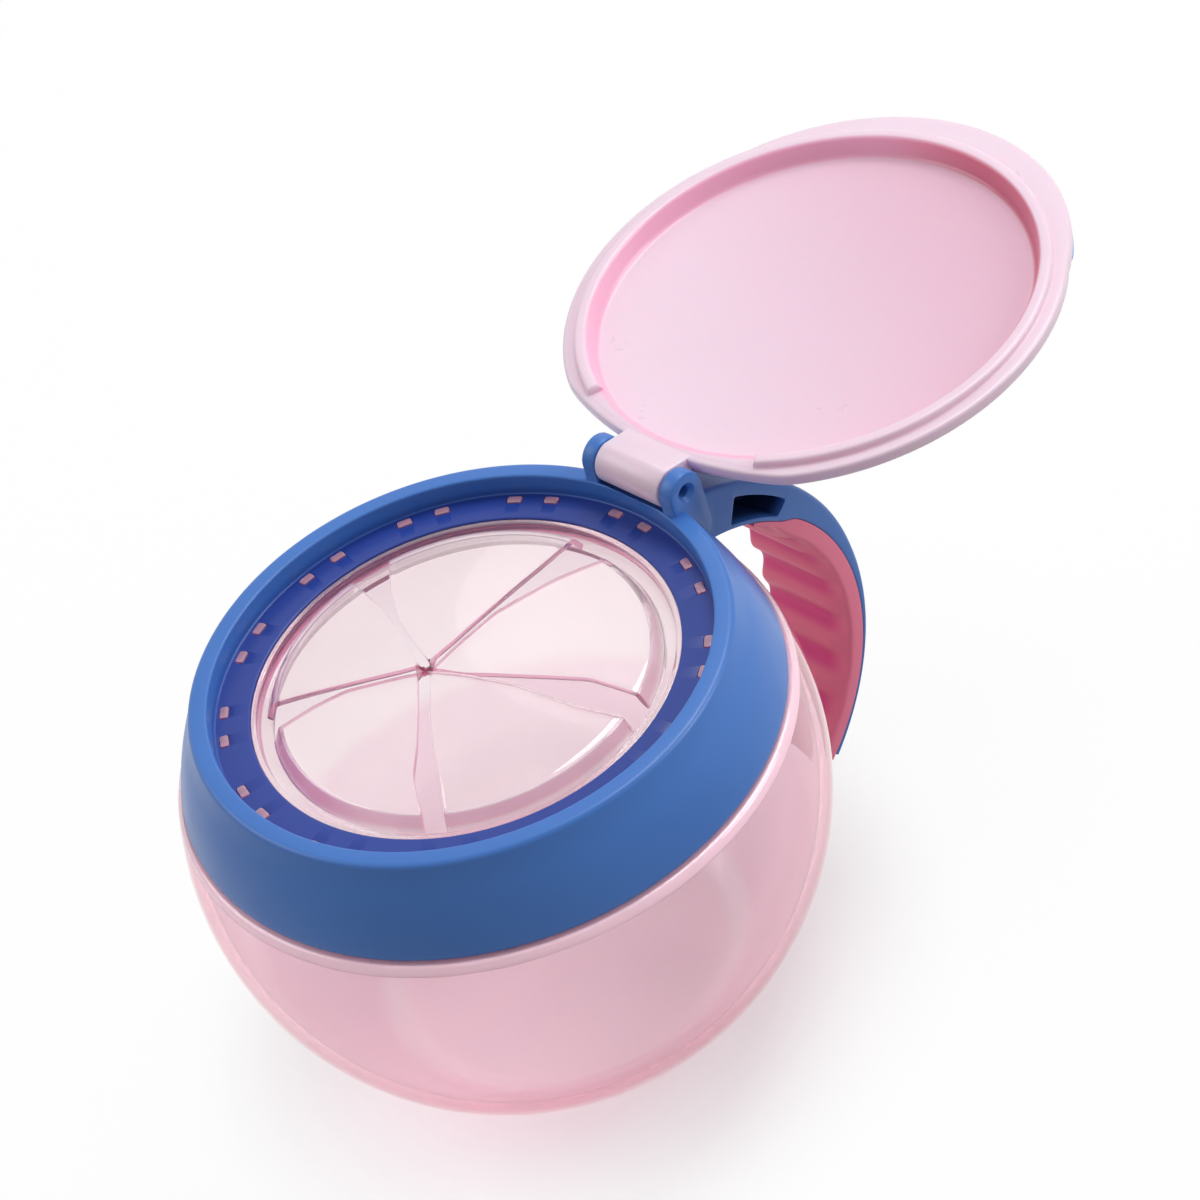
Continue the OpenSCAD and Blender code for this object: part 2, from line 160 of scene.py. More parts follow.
sheet_finish = Finish(bpy.data.materials.new("white_sheet"))
tone = sheet_finish.mixed(sheet_finish.seen(), (sheet_back,) * 3, (sheet_white,) * 3)
paper = sheet_finish.add("BsdfDiffuse", values={"Color": tone})
glow = sheet_finish.add("Emission", values={"Color": (1, 1, 1, 1), "Strength": 1.0})
away = sheet_finish.vector("LENGTH", sheet_finish.add("TexCoord")["Object"])
glow_share = away.step(glow_first * mm, glow_last * mm) * (glow_far - glow_near) + glow_near
sheet_skin = sheet_finish.add(
    "MixShader", values={0: sheet_finish.seen() * glow_share, 1: paper, 2: glow}
)
sheet_finish.add("OutputMaterial", values={"Surface": sheet_skin})

half = sheet_side * mm / 2
sheet_corners = ((-half, -half), (half, -half), (half, half), (-half, half))
sheet_mesh = bpy.data.meshes.new("table_sheet")
sheet_mesh.from_pydata([(x, y, -sheet_drop * mm) for x, y in sheet_corners], [], [(0, 1, 2, 3)])
sheet_mesh.materials.append(sheet_finish.owner)
sheet = bpy.data.objects.new("table_sheet", sheet_mesh)
scene.collection.objects.link(sheet)

for name, lamp in lamps.items():
    data = bpy.data.lights.new(name, "AREA")
    data.shape, data.size, data.energy = "DISK", lamp["side"] * mm, lamp["watts"]
    hung = bpy.data.objects.new(name, data)
    hung.location = Vector(lamp["at"]) * mm
    aim = Vector(lamp_aim) * mm - hung.location
    hung.rotation_euler = aim.to_track_quat("-Z", "Y").to_euler()
    scene.collection.objects.link(hung)

# ---- The camera.
# A long lens looks down on the front right of the container, tilted about its own axis.
lens_mm, sensor_mm, nearest = 102.0, 36.0, 10.0
lens_at = Vector((322.069, -192.362, 404.963))
lens_right = Vector((0.70596, 0.66904, -0.23239))
lens_up = Vector((-0.34648, 0.61241, 0.71057))

lens_back = lens_right.cross(lens_up)
camera_data = bpy.data.cameras.new("camera")
camera_data.lens, camera_data.sensor_width = lens_mm, sensor_mm
camera_data.clip_start = nearest * mm
camera = bpy.data.objects.new("camera", camera_data)
turned = Matrix((lens_right, lens_up, lens_back)).transposed().to_4x4()
camera.matrix_world = Matrix.Translation(lens_at * mm) @ turned
scene.collection.objects.link(camera)
scene.camera = camera


# ---- Bowl.
# One injection-moulded piece of clear pink plastic: nearly a ball, cut flat below to stand
# on, with a shoulder and a screw neck above. Its floor is thicker than its wall.
crease = 38.0  # an edge that turns by more degrees than this stays sharp


def rounded(corners, steps=5, closed=False):
    """Points along an outline given as (across, up, radius), each corner with its radius."""
    points = []
    count = len(corners)
    for i, (x, y, radius) in enumerate(corners):
        here = np.array((x, y), float)
        inner = closed or 0 < i < count - 1
        if not radius or not inner:
            points.append(here)
            continue
        before = np.array(corners[i - 1][:2], float) - here
        after = np.array(corners[(i + 1) % count][:2], float) - here
        long_a, long_b = np.linalg.norm(before), np.linalg.norm(after)
        if min(long_a, long_b) < 0.01:
            points.append(here)
            continue
        before, after = before / long_a, after / long_b
        half_angle = math.acos(max(-1.0, min(1.0, before @ after))) / 2
        back = min(radius / math.tan(half_angle), 0.49 * long_a, 0.49 * long_b)
        start, end = here + before * back, here + after * back
        for k in range(steps + 1):
            t = k / steps
            bend = start * (1 - t) ** 2 + here * 2 * t * (1 - t) + end * t * t
            points.append(bend)
    return points


def put(name, points, faces, finish, smooth=crease):
    """A mesh piece from points in millimetres, shaded smooth except at its sharp edges."""
    mesh = bpy.data.meshes.new(name)
    mesh.from_pydata([tuple(c * mm for c in p) for p in points], [], [tuple(f) for f in faces])
    work = bmesh.new()
    work.from_mesh(mesh)
    bmesh.ops.remove_doubles(work, verts=work.verts, dist=0.001 * mm)
    bmesh.ops.recalc_face_normals(work, faces=work.faces)
    work.to_mesh(mesh)
    work.free()
    piece = bpy.data.objects.new(name, mesh)
    scene.collection.objects.link(piece)
    return finished(piece, finish, smooth)


def finished(piece, finish, smooth=crease):
    """The piece with that finish, shaded smooth except where it turns sharply."""
    piece.data.materials.clear()
    piece.data.materials.append(finish.owner)
    piece.data.shade_smooth()
    piece.data.set_sharp_from_angle(angle=math.radians(smooth))
    return piece


def spun(name, outline, finish, steps=256, closed=True, smooth=crease):
    """An outline of (radius, height) points turned round the upright axis."""
    count = len(outline)
    points, faces = [], []
    for k in range(steps):
        turn = 2 * math.pi * k / steps
        points += [(r * math.cos(turn), r * math.sin(turn), z) for r, z in outline]
    for k in range(steps):
        a, b = k * count, (k + 1) % steps * count
        for i in range(count if closed else count - 1):
            j = (i + 1) % count
            faces.append((a + i, b + i, b + j, a + j))
    return put(name, points, faces, finish, smooth)


def thread(name, finish, radius, low, out=1, steps=60):
    """A screw ridge that winds up round the axis and runs out into its wall at both ends."""
    section = ((-0.15, -0.95), (0.55, -0.55), (1.0, -0.3), (1.0, 0.3), (0.55, 0.55), (-0.15, 0.95))
    sides = len(section)
    points, faces = [], []
    total = int(steps * thread_turns)
    for k in range(total + 1):
        turn = 2 * math.pi * k / steps
        ends = min(1.0, 6 * k / steps, 6 * (total - k) / steps)
        for across, up in section:
            r = radius + out * across * thread_h * (ends if across > 0 else 1.0)
            z = low + thread_pitch * k / steps + up * thread_pitch * 0.24
            points.append((r * math.cos(turn), r * math.sin(turn), z))
    for k in range(total):
        for i in range(sides):
            a, b = sides * k + i, sides * k + (i + 1) % sides
            faces.append((a, a + sides, b + sides, b))
    faces += [tuple(range(sides)), tuple(range(sides * total, sides * (total + 1)))]
    return put(name, points, faces, finish, 60.0)


def reach(finish, place, ways=(1.0, 1.0, 0.0)):
    """How far a place lies from the upright axis, or from the axis that the ways leave out."""
    return finish.vector("LENGTH", finish.vector("MULTIPLY", place, ways))


def noise(finish, place, scale, detail):
    """Soft random patches, smaller with a larger scale."""
    return finish.add("TexNoise", values={"Vector": place, "Scale": scale, "Detail": detail})


def clouded(finish, mask, colour):
    """The colour, a touch darker in the clouds of the mask."""
    return finish.mixed(mask, colour, tuple(c * 0.985 for c in colour))


def clear_finish(
    name, skin, edge, shade, depth_colour, depth, rough, bend, clear, mottle, ripple,
    foot=None, reflection_and_shade=None,
):
    """A clear tinted moulding with a glossy skin, deeper on its upright cut faces.

    A foot deepens the belly and lets the tint come in with height; along a way, the
    leaning faces get painted shade tinted with a painted reflection of the blue collar.
    """
    finish = Finish(bpy.data.materials.new(name))
    coordinates = finish.add("TexCoord")
    place = coordinates["Object"]
    cloud = noise(finish, place, mottle, 3.0)
    fine = noise(finish, place, 9 * mottle, 2.0)
    tint = clouded(finish, cloud.step(0.35, 0.7), skin)
    facing = finish.add("SeparateXYZ", values={0: coordinates["Normal"]})["Z"]
    if foot:
        deep, pale, inside, first, last = foot
        height = finish.add("SeparateXYZ", values={0: place})["Z"]
        outside = reach(finish, place).step(inside * mm, (inside + 3.0) * mm)
        belly = outside * (1.0 - height.step((first - 1.5) * mm, (first + 1.0) * mm))
        low = finish.mixed(belly, pale, deep)
        tint = finish.mixed(height.step((first + 2.0) * mm, last * mm), low, tint)
    if reflection_and_shade:
        # Painted shade tinted with a painted reflection of the blue collar, on the leaning faces
        # along the way.
        colour, way, first, last = reflection_and_shade
        along = finish.vector("DOT_PRODUCT", place, way)
        leaning = 1.0 - (facing * facing).step(0.45, 0.8)
        tint = finish.mixed(along.step(first * mm, last * mm) * leaning, tint, colour)
    if edge:
        upright = 1.0 - (facing * facing).step(0.03, 0.36)
        tint = finish.mixed(upright, tint, edge)
    uneven = finish.add(
        "Bump", values={"Strength": ripple, "Distance": 0.0002, "Height": cloud + fine * 0.25}
    )
    body = finish.add(
        "BsdfPrincipled",
        values={
            "Base Color": tint,
            "Roughness": fine * rough * 0.6 + rough * 0.7,
            "IOR": bend,
            "Transmission Weight": clear,
            "Coat Weight": 1.0,
            "Coat Roughness": 0.04,
            "Coat IOR": 1.5,
            "Normal": uneven,
        },
    )
    let_in = finish.add("BsdfTransparent", values={"Color": shade + (1,)})
    shadow = finish.add("LightPath")["Is Shadow Ray"]
    skin_mix = finish.add("MixShader", values={0: shadow, 1: body, 2: let_in})
    inside = finish.add("VolumeAbsorption", values={"Color": depth_colour + (1,), "Density": depth})
    finish.add("OutputMaterial", values={"Surface": skin_mix, "Volume": inside})
    return finish


ball_r, ball_z = 49.98, 42.0
wall, floor_t = 2.0, 2.6
foot_round, foot_top = 5.0, 3.2
floor_round, floor_top, floor_flat = 6.0, 4.5, 14.0
shoulder_z, shoulder_drop, roof_drop = 56.4, 1.6, 3.2
neck_r, neck_wall, neck_top = 42.98, 1.8, 64.1
thread_pitch, thread_h, thread_turns = 3.6, 0.36, 1.25
neck_thread_z = 58.4

bowl_pink = clear_finish(
    "clear_pink_plastic",
    skin=(0.925, 0.90, 0.915),
    edge=None,
    shade=(0.74, 0.735, 0.737),
    depth_colour=(0.93, 0.22, 0.45),
    depth=64.0,
    rough=0.02,
    bend=1.03,
    clear=0.91,
    mottle=60.0,
    ripple=0.05,
    foot=((0.94, 0.80, 0.86), (0.985, 0.995, 0.995), 29.0, 24.0, 54.0),
)


def ball_arc(radius, low, high, step=3.0):
    """Points about a step of degrees apart on the ball's side, from one height to another."""
    first = math.asin((low - ball_z) / radius)
    last = math.asin((high - ball_z) / radius)
    count = max(2, int(abs(math.degrees(last - first)) / step))
    angles = [first + (last - first) * k / count for k in range(count + 1)]
    return [(radius * math.cos(a), ball_z + radius * math.sin(a), 0) for a in angles]


foot_r = math.sqrt(ball_r**2 - ball_z**2)
shoulder_r = math.sqrt(ball_r**2 - (shoulder_z - ball_z) ** 2)
in_r = ball_r - wall
roof_z = shoulder_z - wall
bowl_outline = rounded(
    [(0, 0, 0), (foot_r - foot_round - 1.0, 0, 0), (foot_r, 0, foot_round)]
    + ball_arc(ball_r, foot_top, shoulder_z - shoulder_drop)
    + [
        (shoulder_r, shoulder_z, 1.0),
        (neck_r, shoulder_z, 0.5),
        (neck_r, neck_top, 0.4),
        (neck_r - neck_wall, neck_top, 0.4),
        (neck_r - neck_wall, roof_z + 1.5, 2.0),
        (math.sqrt(in_r**2 - (roof_z - ball_z) ** 2) - 0.4, roof_z, 2.2),
    ]
    + ball_arc(in_r, roof_z - roof_drop, floor_t + floor_top)
    + [
        (math.sqrt(in_r**2 - (ball_z - floor_t) ** 2), floor_t, floor_round),
        (floor_flat, floor_t, 0),
        (0, floor_t, 0),
    ]
)
bowl = spun("bowl_shell", bowl_outline, bowl_pink, closed=False, smooth=50)
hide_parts("bowl")
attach(bowl, "bowl")

# The shoulder's rounded corner has a matt skin, which stands just proud of the clear wall.
matt_proud, matt_t, matt_in, matt_low = 0.02, 0.04, 2.2, 1.5
matt_r = math.sqrt(ball_r**2 - (shoulder_z - matt_low - ball_z) ** 2)
shoulder_skin = rounded(
    [
        (neck_r + matt_in, shoulder_z + matt_proud, 0),
        (shoulder_r - 0.3, shoulder_z + matt_proud, 0.8),
        (matt_r + matt_proud, shoulder_z - matt_low, 0),
    ],
    6,
)
matt_pink = clear_finish(
    "matt_pink_edge",
    skin=(0.84, 0.64, 0.71),
    edge=(0.82, 0.58, 0.67),
    shade=(0.9, 0.88, 0.89),
    depth_colour=(0.9, 0.4, 0.6),
    depth=1.0,
    rough=0.6,
    bend=1.05,
    clear=0.5,
    mottle=60.0,
    ripple=0.05,
)
shoulder = spun(
    "bowl_shoulder_edge",
    shoulder_skin + [(r - matt_t, z - matt_t / 4) for r, z in reversed(shoulder_skin)],
    matt_pink,
)
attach(shoulder, "bowl")

neck_thread = thread("bowl_neck_thread", bowl_pink, neck_r, neck_thread_z)
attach(neck_thread, "bowl")


# ---- Sealing ring.
# A soft flat washer that sits on the neck's end, inside the collar, and keeps crumbs in.
seal_r, seal_w, seal_round = 43.28, 2.3, 0.3
seal_low, seal_high = neck_top + 0.05, 65.65

seal_pink = clear_finish(
    "soft_seal",
    skin=(0.95, 0.90, 0.92),
    edge=(0.93, 0.80, 0.85),
    shade=(0.8, 0.76, 0.78),
    depth_colour=(0.9, 0.2, 0.4),
    depth=40.0,
    rough=0.25,
    bend=1.2,
    clear=0.7,
    mottle=120.0,
    ripple=0.1,
)
seal = spun(
    "seal_washer",
    rounded(
        [
            (seal_r - seal_w, seal_low, seal_round),
            (seal_r, seal_low, seal_round),
            (seal_r, seal_high, seal_round),
            (seal_r - seal_w, seal_high, seal_round),
        ],
        closed=True,
    ),
    seal_pink,
    steps=192,
)
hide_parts("seal_ring")
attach(seal, "seal")


# ---- Collar and handle.
# One blue moulding with a satin skin: the screw ring with its recessed flange, two hinge
# ears, and a sickle-shaped arm that is cored out from both sides where it is thickest.
cloud_scale, flow_scale, grain_scale = 45.0, 170.0, 2600.0


def grained(finish, place, rough, swing=0.14, depth=0.08):
    """The roughness and the normal of a fine spark-eroded grain."""
    fine, flow = noise(finish, place, grain_scale, 2.0), noise(finish, place, flow_scale, 4.0)
    grain = {"Strength": depth, "Distance": 0.06 * mm, "Height": fine + flow * 0.6}
    return {
        "Roughness": flow * swing + (rough - swing / 2),
        "Normal": finish.add("Bump", values=grain),
    }


def satin_finish(name, colour, shade, rough, shine=0.5, recess_shade=None, pocket=None, gloss=0.0):
    """A grained plastic with painted shade: darker in a hollow under a height and in pockets
    between sweeps.
    """
    finish = Finish(bpy.data.materials.new(name))
    place = finish.add("TexCoord")["Object"]
    cloud = noise(finish, place, cloud_scale, 3.0)
    paint = finish.mixed(cloud.step(0.3, 0.75), colour, shade)
    if recess_shade:
        # Painted shade: a darker colour inside the mouth, below a height.
        deep, out, top = recess_shade
        outside = reach(finish, place).step((out - 0.5) * mm, (out + 0.5) * mm)
        height = finish.add("SeparateXYZ", values={0: place})["Z"]
        inside = (1.0 - outside) * (1.0 - height.step((top - 1.6) * mm, top * mm))
        paint = finish.mixed(inside, paint, deep)
    if pocket:
        # Painted shade: a near-black colour in the pockets between the sweeps.
        deep, front, half_width, sweeps = pocket
        parts = finish.add("SeparateXYZ", values={0: place})
        across = finish.add("Math", {"operation": "ABSOLUTE"}, {0: parts["X"]})
        inside = 1.0 - across.step((half_width - 2.6) * mm, (half_width + 0.3) * mm)
        inside = inside * parts["Y"].step((front - 0.3) * mm, (front - 0.1) * mm)
        for (y, z), near, far in sweeps:
            spot = finish.vector("SUBTRACT", place, (0.0, y * mm, z * mm))
            out = reach(finish, spot, (0.0, 1.0, 1.0))
            inside = inside * out.step(near * mm, (near + 0.2) * mm)
            inside = inside * (1.0 - out.step(far * mm, (far + 0.2) * mm))
        paint = finish.mixed(inside, paint, deep)
    values = {
        "Base Color": paint,
        "Specular IOR Level": shine,
        "Coat Weight": gloss,
        "Coat Roughness": 0.14,
    }
    body = finish.add("BsdfPrincipled", values=values | grained(finish, place, rough))
    finish.add("OutputMaterial", values={"Surface": body})
    return finish


def applied(piece):
    """The piece with its modifiers made into its mesh."""
    graph = bpy.context.evaluated_depsgraph_get()
    made = bpy.data.meshes.new_from_object(piece.evaluated_get(graph), depsgraph=graph)
    piece.modifiers.clear()
    piece.data = made
    return piece


def joined(piece, other, how):
    """The piece after a union with, or a cut by, another, which is then gone."""
    change = piece.modifiers.new("change", "BOOLEAN")
    change.object, change.operation, change.solver = other, how, "EXACT"
    applied(piece)
    bpy.data.objects.remove(other)
    return piece


def stacked(count, rows, first=0):
    """The two ends and the side faces of a stack of closed rows with count points each."""
    last = first + (rows - 1) * count
    ends = [tuple(range(first, first + count)), tuple(range(last, last + count))]
    sides = []
    for row in range(first, last, count):
        for i in range(count):
            j = (i + 1) % count
            sides.append((row + i, row + j, row + count + j, row + count + i))
    return ends, sides


def lofted(name, rows, finish, smooth=crease):
    """A closed skin over rows of as many points each."""
    ends, sides = stacked(len(rows[0]), len(rows))
    return put(name, [p for row in rows for p in row], ends + sides, finish, smooth)


def bar(name, outline, x0, x1, finish, edge=0.0):
    """An outline in the hinge's cross plane, as (y, z), run along the hinge's axis."""
    centre = sum(np.array(p, float) for p in outline) / len(outline)
    spokes = [np.array(p, float) - centre for p in outline]
    stops = [(x0, edge), (x0 + 0.3 * edge, 0.3 * edge), (x0 + edge, 0.0)]
    stops += [(x1 - edge, 0.0), (x1 - 0.3 * edge, 0.3 * edge), (x1, edge)]
    if not edge:
        stops = [(x0, 0.0), (x1, 0.0)]
    rows = []
    for x, inset in stops:
        rows.append([(x, *(centre + q * (1 - inset / np.linalg.norm(q)))) for q in spokes])
    ends, sides = stacked(len(spokes), len(rows))
    return put(name, [p for row in rows for p in row], sides + ends, finish)


def toward(degrees):
    """The direction at that angle in a plane, as a vector of length 1."""
    return np.array((math.cos(math.radians(degrees)), math.sin(math.radians(degrees))))


def ring_points(centre, radius, first, last, count):
    """Points on a circle from one angle to another, in degrees."""
    return [centre + radius * toward(first + (last - first) * k / count) for k in range(count + 1)]


def circle(centre, radius, count=24):
    """Points all round a circle."""
    return ring_points(centre, radius, 0, 360 - 360 / count, count - 1)


collar_z, collar_r = 56.8, 47.18
rim_z, rim_r = 71.0, 41.58
mouth_r, flange_z, flange_t, flange_r = 38.68, 67.3, 1.6, 33.08
bore_r, collar_thread_z = 43.58, 60.2
pin_y, pin_z = 41.68, 73.5
ear_r, ear_in, ear_out, ear_foot = 3.4, 6.95, 9.55, 4.0
knuckle_gap_r = 4.1
pin_hole_r, sink, drill_half = 1.02, 0.7, 12.0
slot_pairs, slot_split, slot_r = 13, 9.5, 37.18
slot_l, slot_w, slot_round = 2.6, 1.6, 0.45
moulded_edge, edge_angle = 0.22, 42.0
# Two sweeps of the arm, as (y, z) and radius: its outer face and, before the seat, its inner.
sweep, sweep_r = (30.5, 32.3), 41.0
inner, inner_r = (34.8, 28.7), 34.2
seat_shift, seat_start, seat_full = (1.0, 0.35), 48.0, 39.5
arm_w, arm_edge, arm_steps, root_angle, tip_z = 18.4, 0.9, 130, 73.5, 1.1
pocket_front, pocket_low, pocket_wall, pocket_floor, web = 50.1, 39.5, 2.4, 0.8, 3.0
roof_front, ground_front = pocket_front + 0.4, pocket_front - 1.7

# The recessed flange, the inner wall and the arm's pockets get painted shade.
blue = satin_finish(
    "satin_blue",
    colour=(0.056, 0.19, 0.575),
    shade=(0.050, 0.175, 0.545),
    rough=0.36,
    shine=0.32,
    recess_shade=((0.017, 0.048, 0.30), mouth_r, flange_z + 1.9),
    pocket=(
        (0.012, 0.03, 0.11),
        ground_front,
        arm_w / 2,
        ((inner, inner_r + 0.4, inner_r + 9.0), (sweep, sweep_r - 9.0, sweep_r - 1.0)),
    ),
    gloss=0.12,
)

side = []
for k in range(1, 8):
    t = k / 8
    swell = 4 * 0.55 * t * (1 - t)
    across = collar_r + (rim_r - collar_r) * t + swell * 0.92
    up = collar_z + (rim_z - 1.2 - collar_z) * t + swell * 0.38
    side.append((across, up, 0))
collar = spun(
    "collar_and_arm",
    rounded(
        [(bore_r, collar_z, 0.5), (collar_r, collar_z, 0.6)]
        + side
        + [
            (rim_r, rim_z, 1.1),
            (mouth_r, rim_z, 0.4),
            (mouth_r, flange_z, 0.35),
            (flange_r, flange_z, 0.3),
            (flange_r, flange_z - flange_t, 0.2),
            (bore_r, flange_z - flange_t, 0.3),
        ],
        closed=True,
    ),
    blue,
    steps=312,
)

pin_at = (pin_y, pin_z)
ear_outline = rounded(
    [(pin_y - ear_r, flange_z + 0.2, 0)]
    + [(y, z, 0) for y, z in ring_points(pin_at, ear_r, 180, 0, 24)]
    + [(pin_y + ear_r, flange_z - ear_foot + 1.5, 0), (pin_y + 2.4, flange_z - ear_foot, 0)],
    closed=True,
)
for x0, x1 in ((-ear_out, -ear_in), (ear_in, ear_out)):
    joined(collar, bar("ear", ear_outline, x0, x1, blue, 0.35), "UNION")


def eased(value, start, full):
    """0 at the start and before it, 1 at full and after it, with a smooth way between."""
    t = min(1.0, max(0.0, (value - start) / (full - start)))
    return t * t * (3 - 2 * t)


def seat_reach(angle):
    """How far from the inner sweep's centre the arm's face lies, with the grip's seat in it."""
    u = toward(angle)
    along = seat_shift[0] * u[0] + seat_shift[1] * u[1]
    across = seat_shift[0] * u[1] - seat_shift[1] * u[0]
    deep = along + math.sqrt(inner_r**2 - across**2) - inner_r
    return inner_r + deep * eased(angle, seat_start, seat_full)


def arm_span(angle):
    """How far from the outer sweep's centre the arm's inner and outer faces lie."""
    low, high = 20.0, sweep_r
    for _ in range(30):
        mid = (low + high) / 2
        spot = np.array(sweep) + mid * toward(angle) - np.array(inner)
        out = np.linalg.norm(spot) > seat_reach(math.degrees(math.atan2(spot[1], spot[0])))
        low, high = (low, mid) if out else (mid, high)
    return high, sweep_r


def arm_rows(first, last):
    """Rounded cross rows of the arm from one angle of its sweep to another."""
    rows = []
    for k in range(arm_steps + 1):
        angle = first + (last - first) * k / arm_steps
        r0, r1 = arm_span(angle)
        ease = min(arm_edge, 0.42 * (r1 - r0))
        corners = [
            (-arm_w / 2, r0, min(0.35, ease)),
            (arm_w / 2, r0, min(0.35, ease)),
            (arm_w / 2, r1, ease),
            (-arm_w / 2, r1, ease),
        ]
        rows.append([(x, *(sweep + r * toward(angle))) for x, r in rounded(corners, 4, True)])
    return rows


tip_angle = math.degrees(math.asin((tip_z - sweep[1]) / sweep_r))
arm = lofted("arm", arm_rows(root_angle, tip_angle), blue)

# The pocket's outline runs up under the arm's outer face, its roof, and back along its ground.
roof_r, ground_r = sweep_r - pocket_wall, inner_r + pocket_floor
roof = [p for p in ring_points(sweep, roof_r, pocket_low, 70, 40) if p[0] > roof_front]
roof_rise = math.sqrt(roof_r**2 - (roof_front - sweep[0]) ** 2)
ground = [
    p
    for p in ring_points(inner, ground_r, 75, 40, 50)
    if p[0] > ground_front
    and math.atan2(p[1] - sweep[1], p[0] - sweep[0]) > math.radians(pocket_low)
]
ground_rise = math.sqrt(ground_r**2 - (ground_front - inner[0]) ** 2)
pocket = rounded(
    [(*roof[0], 2.0)]
    + [(*p, 0) for p in roof[3:-2]]
    + [(roof_front, sweep[1] + roof_rise, 1.3), (ground_front, inner[1] + ground_rise, 1.1)]
    + [(*p, 0) for p in ground[1:-3]]
    + [(*ground[-1], 1.8)],
    6,
    True,
)
for side_x in (-1, 1):
    x0, x1 = sorted((side_x * web / 2, side_x * (arm_w / 2 + 1)))
    joined(arm, bar("pocket", pocket, x0, x1, blue), "DIFFERENCE")
joined(collar, arm, "UNION")

gap_top = pin_z + 6
gap_outline = ring_points(pin_at, knuckle_gap_r, 180, 360, 20)
gap_outline += [(pin_y + knuckle_gap_r, gap_top), (flange_r, gap_top)]
gap_outline += [(flange_r, pin_z - knuckle_gap_r)]
joined(collar, bar("gap", gap_outline, -ear_in, ear_in, blue), "DIFFERENCE")
hole = bar("hole", circle(pin_at, pin_hole_r), -drill_half, drill_half, blue)
joined(collar, hole, "DIFFERENCE")
for x0, x1 in ((ear_out - sink, ear_out + 0.5), (-ear_out - 0.5, -ear_out + sink)):
    rows = []
    for x in (x0, x1):
        wide = pin_hole_r + max(0.0, abs(x) - (ear_out - sink))
        rows.append([(x, y, z) for y, z in circle(pin_at, wide)])
    joined(collar, lofted("sink", rows, blue), "DIFFERENCE")


def slot_pegs(levels, corner):
    """Points and faces of a peg in every slot, from heights and how far each shies inwards."""
    points, faces = [], []
    for k in range(slot_pairs):
        for half_turn in (-slot_split / 2, slot_split / 2):
            out = toward(90 + k * 360 / slot_pairs + half_turn)
            along = np.array((-out[1], out[0]))
            first = len(points)
            for z, shy in levels:
                a, b = slot_w / 2 - shy, slot_l / 2 - shy
                corners = [(x, y, corner) for x, y in ((-a, -b), (a, -b), (a, b), (-a, b))]
                for x, y in rounded(corners, 3, True):
                    points.append((*(out * (slot_r + x) + along * y), z))
            ends, sides = stacked((len(points) - first) // len(levels), len(levels), first)
            faces += ends + sides
    return points, faces


def softened(piece, width, angle):
    """The piece with a small bevel on every edge that is sharper than that angle."""
    bevel = piece.modifiers.new("edge", "BEVEL")
    bevel.width, bevel.segments, bevel.limit_method = width * mm, 2, "ANGLE"
    bevel.angle_limit = math.radians(angle)
    return applied(piece)


cut_levels = ((flange_z - flange_t - 1, 0.0), (flange_z + 1, 0.0))
joined(collar, put("slots", *slot_pegs(cut_levels, slot_round), blue), "DIFFERENCE")

softened(collar, moulded_edge, edge_angle)
finished(collar, blue, edge_angle)
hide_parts("collar", "handle")
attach(collar, "collar")

collar_thread = thread("collar_thread", blue, bore_r, collar_thread_z, out=-1)
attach(collar_thread, "collar")


# ---- Grip.
# A soft magenta pad moulded into a seat on the arm's inner face. Low ridges across it part
# the fingers and fade out towards one side; a thin tongue runs on up under the arm.
grip_t, tongue_t, ridge_h, ridges = 2.0, 0.9, 1.15, 7
grip_top, grip_low, grip_steps = 58.0, -52.9, 190
tongue_low, tongue_high = 42.0, 51.0
ridge_first, ridge_last = 38.0, -44.9
ridge_fade, far_fade, grip_edge = 4.2, 0.9, 1.6


def ridge_finish(name, crest, valley, rough):
    """A soft moulding with a painted highlight on its crests and painted shade in the valleys
    between.
    """
    finish = Finish(bpy.data.materials.new(name))
    place = finish.add("TexCoord")["Object"]
    spot = finish.add("SeparateXYZ", values={0: place})
    up, out = spot["Z"] - inner[1] * mm, spot["Y"] - inner[0] * mm
    turn = finish.add("Math", {"operation": "ARCTAN2"}, {0: up, 1: out})
    ridge_turn = math.radians((ridge_first - ridge_last) / (ridges - 1))
    beat = (turn - math.radians(ridge_first)) * (2 * math.pi / ridge_turn)
    wave = finish.add("Math", {"operation": "COSINE"}, {0: beat})
    side_in = 1.0 - spot["X"].step((arm_w / 2 - 5.0) * mm, (arm_w / 2 - 0.9) * mm)
    depth = finish.vector("LENGTH", finish.add("CombineXYZ", values={0: up, 1: out}))
    face = 1.0 - depth.step((inner_r - 1.5) * mm, (inner_r - 0.9) * mm)
    # Painted light and shade: lighter on the crests, darker in the valleys.
    paint = finish.mixed((1.0 - wave.step(-0.9, 0.8)) * side_in * face, crest, valley)
    values = {"Base Color": paint} | grained(finish, place, rough)
    body = finish.add("BsdfPrincipled", values=values)
    finish.add("OutputMaterial", values={"Surface": body})
    return finish


def ridge_height(angle, x):
    """How far a ridge stands up at that angle of the sweep and place across the pad."""
    run = (ridge_first - angle) / (ridge_first - ridge_last) * (ridges - 1)
    if not -0.5 < run < ridges - 0.5:
        return 0.0
    wave = 0.5 + 0.5 * math.cos(2 * math.pi * run)
    near_in, far_in = arm_w / 2 - 0.7 - x, arm_w / 2 + 0.5 + x
    side_fade = min(1.0, max(0.0, near_in / ridge_fade if x > 0 else far_in / far_fade))
    return ridge_h * wave**1.2 * side_fade * (2 - side_fade)


magenta = ridge_finish(
    "soft_magenta", crest=(0.92, 0.22, 0.345), valley=(0.79, 0.075, 0.27), rough=0.5
)

